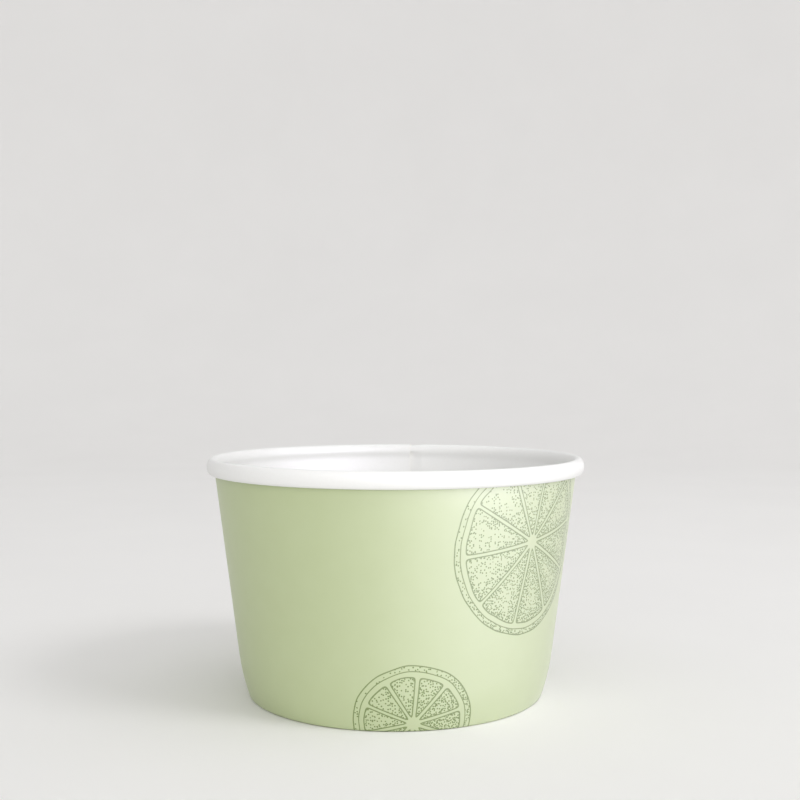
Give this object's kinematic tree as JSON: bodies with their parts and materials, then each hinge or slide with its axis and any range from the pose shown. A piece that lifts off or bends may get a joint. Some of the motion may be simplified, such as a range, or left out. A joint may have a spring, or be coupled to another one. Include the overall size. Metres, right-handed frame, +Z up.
{
  "type": "paper ice cream cup",
  "caption": "Short tapered paper cup for ice cream, with a rolled rim, a lapped side seam, a foot drawn in a little and a recessed base, printed pale green outside and white inside.",
  "frame": {"origin": "on the cup's axis, on the surface that the cup stands on", "axes": "+Z up along the cup's axis, +Y towards the lap seam at the back"},
  "size_m": [0.095, 0.095, 0.0595],
  "materials": {
    "printed_board": "coated paperboard, printed pale green outside with a tone-on-tone pattern, white inside, satin",
    "white_board": "uncoated white paperboard below, coated above, satin"
  },
  "bodies": {
    "root": {"sidewall": "printed_board", "base_disc": "white_board"}
  },
  "joints": []
}
